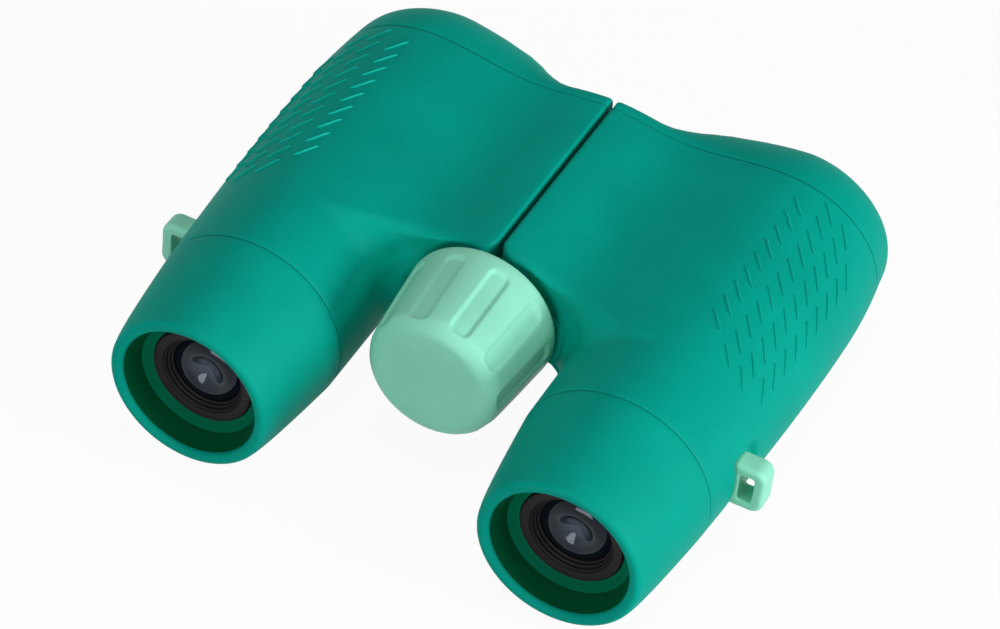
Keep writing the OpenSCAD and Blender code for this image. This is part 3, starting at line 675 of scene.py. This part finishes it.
def eyecup(left, side, body):
    """Soft eyecup with a rounded lip and a stepped inner floor round the lens."""
    r_mouth, r_in = 14.7, 12.4
    lip = (r_mouth - r_in) / 2
    steps, step_y = 3, 0.4
    floor_r = BEZEL_R + 0.15
    floor_back = BEZEL_Y + 2.6
    step_r = (r_in - 1.5 - floor_r) / steps
    profile = arc(r_in + lip, MOUTH_Y + lip, lip, -180, 0, 17)
    u = np.linspace(0, 1, 24)[1:]
    outer_r = r_mouth + (BARREL_R - r_mouth) * u**0.75
    outer_y = MOUTH_Y + lip + (-SEAM_EDGE - MOUTH_Y - lip) * u
    profile += list(zip(outer_r, outer_y))
    profile += [(BARREL_R - SEAM_BEND, -SEAM_BEND), (BARREL_R - SEAM_EDGE, 0), (NECK_R, 0)]
    profile += [(NECK_R, floor_back), (floor_r, floor_back), (floor_r, BEZEL_Y + 0.45)]
    for k in range(steps):
        r, y = floor_r + step_r * (k + 1), BEZEL_Y + step_y * (1 - k)
        profile += [(r - 0.12, y), (r, y - 0.1)]
    profile += [(r_in - 1.35, BEZEL_Y - 0.6), (r_in - 0.7, BEZEL_Y - 2.4)]
    obj = add_grid(f"{side}_eyecup_soft", on_axis(profile, 192), body, TEAL_RUBBER, left)
    # The inner wall and the stepped floor get the darker teals: painted shade inside the cup.
    obj.data.materials.append(TEAL_INSIDE_PAINTED_SHADE)
    obj.data.materials.append(TEAL_FLOOR_PAINTED_SHADE)
    centre = to_frame(np.array([[AXIS_X, 0, 0]]), left)[0]
    wall_from, floor_from, floor_to = (
        (y + JOINT_Y) * MM for y in (MOUTH_Y + 0.9, BEZEL_Y - 0.65, BEZEL_Y + 2))
    for face in obj.data.polygons:
        x, y, z = face.center
        if wall_from < y < floor_to and math.hypot(x - centre[0], z - centre[2]) < (r_in + 0.1) * MM:
            face.material_index = 1 if y < floor_from else 2
    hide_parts(f"{side}_eyecup")


def eye_optics(left, side, body):
    """Black bezel ring with a stepped throat, and the eye lens in it."""
    turns = 128
    inner, throat = 7.4, 6.3
    edge = BEZEL_Y + 2.1
    centre_r = 0.02
    ring = [(inner, BEZEL_Y + 0.3), (inner + 0.2, BEZEL_Y + 0.06), (inner + 0.5, BEZEL_Y)]
    ring += [(BEZEL_R - 0.25, BEZEL_Y), (BEZEL_R, BEZEL_Y + 0.2), (BEZEL_R, edge + 0.3), (throat, edge + 0.3)]
    steps, step_y = 3, 0.6
    for k in range(steps):
        r, y = throat + (inner - throat) * k / steps, edge - step_y * k
        ring += [(r + 0.02, y), (r + 0.12, y - 0.4), (r + 0.3, y - 0.5)]
    obj = add_grid(f"{side}_bezel_turned", on_axis(ring, turns), body, BLACK, left)
    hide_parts(f"{side}_bezel_ring")

    # The glass is highest on a ridge and hollow inside it, like a lens seen through another
    ridge_r, rise, sink = 4.1, 1.2, 0.72
    out_r = np.linspace(throat + 0.1, ridge_r, 20)
    bulge = edge + 0.1 - rise * (1 - ((out_r - ridge_r) / (throat + 0.1 - ridge_r)) ** 2)
    in_r = np.linspace(ridge_r, centre_r, 24)[1:]
    hollow = edge + 0.1 - rise + sink * (1 + np.cos(np.pi * in_r / ridge_r))
    face = list(zip(np.concatenate([out_r, in_r]), np.concatenate([bulge, hollow])))
    face += [(centre_r, edge + 2.2), (LENS_R, edge + 2.2), (LENS_R, edge + 0.45)]
    obj = add_grid(f"{side}_eye_lens_domed", on_axis(face, turns), body, EYE_GLASS, left)
    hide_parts(f"{side}_eye_lens")


def rounded_rectangle(x, z, radius, centre, angle):
    """Where a ray from a centre inside it leaves a rounded rectangle, given as (low, high) pairs."""
    direction = np.array([math.cos(angle), math.sin(angle)])
    middle = np.array([sum(x), sum(z)]) / 2
    half = np.array([x[1] - x[0], z[1] - z[0]]) / 2 - radius
    low, high = 0.0, 40.0
    for _ in range(40):
        t = (low + high) / 2
        if math.hypot(*np.maximum(np.abs(centre + direction * t - middle) - half, 0)) > radius:
            high = t
        else:
            low = t
    return centre + direction * low


def strap_lug(left, side, body):
    """Closed loop with rounded edges."""
    hole_x = (LUG_X1 - 4.6, LUG_X1 - 2.0)
    middle_z = (LUG_Z0 + LUG_Z1) / 2
    hole_z = (middle_z - 2.7, middle_z + 2.7)
    centre = np.array([sum(hole_x) / 2, middle_z])
    edge, soft = 0.9, 0.3
    rows = []
    for a in np.linspace(0, 2 * math.pi, 128, endpoint=False):
        out = rounded_rectangle((lug_low[0], LUG_X1), (LUG_Z0, LUG_Z1), 2.2, centre, a)
        hole = rounded_rectangle(hole_x, hole_z, 0.5, centre, a)
        d = np.array([math.cos(a), math.sin(a)])
        row = []
        # Over the loop's front edge, through the hole and round the back edge
        for start, inward, r, y, facing, turn in ((out, -d, edge, LUG_Y1, 1, (0, 90, 7)),
                                                  (hole, d, soft, LUG_Y1, 1, (90, 0, 4)),
                                                  (hole, d, soft, LUG_Y0, -1, (0, 90, 4)),
                                                  (out, -d, edge, LUG_Y0, -1, (90, 0, 7))):
            for t in np.radians(np.linspace(*turn)):
                x, z = start + inward * r * (1 - math.cos(t))
                row.append((x, y - facing * r * (1 - math.sin(t)), z))
        rows.append(row)
    obj = add_grid(f"{side}_strap_loop", np.array(rows), body, MINT, left, sharp=50)
    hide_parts(f"{side}_strap_lug")


def on_hinge(points):
    """Points round the origin, moved to the hinge axis."""
    return points + np.array([0, 0, HINGE_Z])


def knuckle(name, y0, y1, body):
    """Hinge knuckle with softened edges."""
    edge = 0.35
    bend = 0.3 * edge
    ring = [(KNUCKLE_BORE, y0), (KNUCKLE_R - edge, y0), (KNUCKLE_R - bend, y0 + bend), (KNUCKLE_R, y0 + edge),
            (KNUCKLE_R, y1 - edge), (KNUCKLE_R - bend, y1 - bend), (KNUCKLE_R - edge, y1), (KNUCKLE_BORE, y1)]
    add_grid(name, on_hinge(revolved(ring, 96)), body, TEAL)


def chamber_shell():
    """Curved shell that closes the carriage chamber under the hinge."""
    y0, y1 = CHAMBER
    inner = KNUCKLE_R - CHAMBER_WALL
    ring = [(inner, y0), (KNUCKLE_R, y0), (KNUCKLE_R, y1), (inner, y1)]
    first, last = -94.5, 150.5
    a = np.radians(np.linspace(first, last, 64))
    points = np.array([[(r * math.cos(t), y, HINGE_Z + r * math.sin(t)) for r, y in ring] for t in a])
    faces = grid_faces(len(a), len(ring), False, True)
    faces += [[0, 1, 2, 3], [len(a) * 4 - 4 + k for k in range(4)]]
    add_piece("right_hinge_chamber", points, faces, "right_half", TEAL)


def focus_knob():
    """Tapered knob with scooped grips and a rounded face."""
    turns, grips, grip_turn = 400, 10, 20
    depth, half_w, soft, corner = 0.52, 1.75, 0.75, 1.1
    scoop_y0, scoop_y1 = KNOB_Y + 1.9, KNOB_END - 3.3
    centre_r, spindle_r, boss_r, floor_y = 0.05, 2.0, 4.5, KNOB_Y + 3
    end_r, fillet_r = KNOB_R - 1.4, 3.2
    face = [(r, KNOB_Y) for r in np.linspace(centre_r, end_r - fillet_r, 6)]
    fillet = [(end_r - fillet_r + fillet_r * math.sin(t), KNOB_Y + fillet_r * (1 - math.cos(t)))
              for t in np.radians(np.linspace(0, 84, 16))[1:]]
    side_r, side_y = fillet[-1]
    side_end = KNOB_END - 1.6
    side = [(side_r + (KNOB_R - side_r) * ((y - side_y) / (side_end - side_y)) ** 0.9, y)
            for y in np.linspace(side_y, side_end, 52)[1:]]
    back = [(KNOB_R - 0.12, KNOB_END - 0.9), (KNOB_R - 0.5, KNOB_END - 0.35), (KNOB_R - 1.1, KNOB_END)]
    inside = [(KNOB_R - 3.0, KNOB_END), (end_r - 2, floor_y), (boss_r, floor_y), (boss_r, KNOB_END - 2),
              (spindle_r, KNOB_END - 2), (spindle_r, floor_y), (centre_r, floor_y)]
    outer = len(face + fillet + side)

    def scoop(a, yy, rr):
        """Change of radius that the scoops make, 0 on the back and inside."""
        pitch = 2 * math.pi / grips
        off = (a / pitch - grip_turn * grips / 360) % 1.0 - 0.5
        across = np.maximum(np.abs(off * pitch * rr) - (half_w - corner), 0)
        past = np.maximum(np.maximum(scoop_y0 + corner - yy, yy - (scoop_y1 - corner)), 0)
        sink = depth * (1 - smooth_step(corner - soft / 2, corner + soft / 2, np.hypot(across, past)))
        sink[:, outer:] = 0
        return -sink

    points = on_hinge(revolved(face + fillet + side + back + inside, turns, scoop))
    obj = add_grid("focus_knob_scooped", points, "focus_knob", MINT, sharp=50)
    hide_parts("focus_knob")


for side, body, is_left, stretches in halves():
    shell = add_grid(f"{side}_housing_skin", housing_skin(stretches), body, TEAL, is_left)
    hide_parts(f"{side}_housing")
    nose = add_grid(f"{side}_cover_skin", cover_skin(), body, TEAL, is_left)
    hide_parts(f"{side}_front_cover")
    grip_dashes(is_left, side, body)
    eyecup(is_left, side, body)
    eye_optics(is_left, side, body)
    strap_lug(is_left, side, body)
for side, knuckles in (("right", RIGHT_KNUCKLES), ("left", LEFT_KNUCKLES)):
    for number, (y0, y1) in enumerate(knuckles, 1):
        knuckle(f"{side}_knuckle_{number}", y0, y1, f"{side}_half")
chamber_shell()
focus_knob()

# ---- carried-over CAD nodes ----------------------------------------------------------------------

for name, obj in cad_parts.items():
    if name.endswith(("_lens", "_prism")):
        material = FRONT_GLASS
    elif name == "hinge_end_cap":
        material = TEAL
    elif name in ("focus_carriage", "focus_spindle"):
        material = BRASS
    elif name == "knob_washer":
        material = RUBBER
    elif name.endswith("screws") or name.startswith("hinge") or name == "spindle_clip":
        material = STEEL
    else:
        material = BLACK
    obj.data.materials.clear()
    obj.data.materials.append(material)


# ---- studio ------------------------------------------------------------------------------------------

def seen_directly(nodes, links):
    """1 for rays from the camera, from a mirror-like surface or through glass, otherwise 0."""
    path = nodes.new("ShaderNodeLightPath")
    last = path.outputs["Is Camera Ray"]
    for kind in ("Is Glossy Ray", "Is Transmission Ray"):
        either = nodes.new("ShaderNodeMath")
        either.operation = "MAXIMUM"
        links.new(last, either.inputs[0])
        links.new(path.outputs[kind], either.inputs[1])
        last = either.outputs[0]
    return last


def studio_floor(bounce):
    """White floor as the camera sees it, which throws only a share of the light back on the object."""
    half = 3.0
    mesh = bpy.data.meshes.new("studio_floor")
    corners = [(-half, -half, 0), (half, -half, 0), (half, half, 0), (-half, half, 0)]
    mesh.from_pydata(corners, [], [(0, 1, 2, 3)])
    floor = bpy.data.objects.new("studio_floor", mesh)
    bpy.context.scene.collection.objects.link(floor)
    m = bpy.data.materials.new("pale_floor")
    m.use_nodes = True
    nodes, links = m.node_tree.nodes, m.node_tree.links
    dull = nodes["Principled BSDF"]
    dull.inputs["Base Color"].default_value = (bounce,) * 3 + (1,)
    dull.inputs["Roughness"].default_value = 0.9
    pale = nodes.new("ShaderNodeBsdfDiffuse")
    pale.inputs["Color"].default_value = (0.9, 0.9, 0.9, 1)
    white = nodes.new("ShaderNodeEmission")
    lit = nodes.new("ShaderNodeMixShader")
    lit.inputs[0].default_value = 0.95
    mix = nodes.new("ShaderNodeMixShader")
    links.new(pale.outputs[0], lit.inputs[1])
    links.new(white.outputs[0], lit.inputs[2])
    links.new(seen_directly(nodes, links), mix.inputs[0])
    links.new(dull.outputs[0], mix.inputs[1])
    links.new(lit.outputs[0], mix.inputs[2])
    links.new(mix.outputs[0], nodes["Material Output"].inputs["Surface"])
    mesh.materials.append(m)


def studio_world(strength):
    """World that is white to look at and lights the object with the given strength."""
    world = bpy.data.worlds.new("studio")
    bpy.context.scene.world = world
    world.use_nodes = True
    nodes, links = world.node_tree.nodes, world.node_tree.links
    dim = nodes["Background"]
    dim.inputs["Color"].default_value = (1, 1, 1, 1)
    dim.inputs["Strength"].default_value = strength
    white = nodes.new("ShaderNodeBackground")
    mix = nodes.new("ShaderNodeMixShader")
    links.new(seen_directly(nodes, links), mix.inputs[0])
    links.new(dim.outputs[0], mix.inputs[1])
    links.new(white.outputs[0], mix.inputs[2])
    links.new(mix.outputs[0], nodes["World Output"].inputs["Surface"])


def softbox(name, place, size, power):
    """Rectangular area light that faces the middle of the object."""
    light = bpy.data.lights.new(name, "AREA")
    light.shape = "RECTANGLE"
    light.size, light.size_y = size
    light.energy = power
    obj = bpy.data.objects.new(name, light)
    obj.location = place
    obj.rotation_euler = (MIDDLE - Vector(place)).to_track_quat("-Z", "Y").to_euler()
    bpy.context.scene.collection.objects.link(obj)


def camera():
    """Camera fitted to the photo."""
    data = bpy.data.cameras.new("photo_camera")
    data.sensor_width = 36
    data.lens = 142.5
    data.clip_start, data.clip_end = 0.05, 20
    obj = bpy.data.objects.new("photo_camera", data)
    back = Vector((0.27340, -0.67435, 0.68594)).normalized()
    right = Vector((0.88734, 0.45208, 0.09076)).normalized()
    up = back.cross(right).normalized()
    turn = Matrix((right, up, back)).transposed().to_4x4()
    obj.matrix_world = Matrix.Translation((0.18365, -0.45468, 0.47554)) @ turn
    bpy.context.scene.collection.objects.link(obj)
    bpy.context.scene.camera = obj


MIDDLE = Vector((0, 0, 0.017))

studio_floor(bounce=0.3)
studio_world(0.02)
softbox("key", (0.96, -0.05, 0.27), (0.25, 0.25), 6.0)
softbox("right_high", (0.78, 0.0, 0.62), (0.3, 0.3), 1.9)
softbox("top", (0.08, -0.10, 1.02), (0.5, 0.5), 2.7)
softbox("front", (0.0, -1.0, 0.13), (0.5, 0.3), 3.9)
softbox("left_fill", (-0.9, 0.1, 0.4), (1.1, 0.9), 1.9)

camera()
bpy.context.scene.view_settings.view_transform = "Standard"
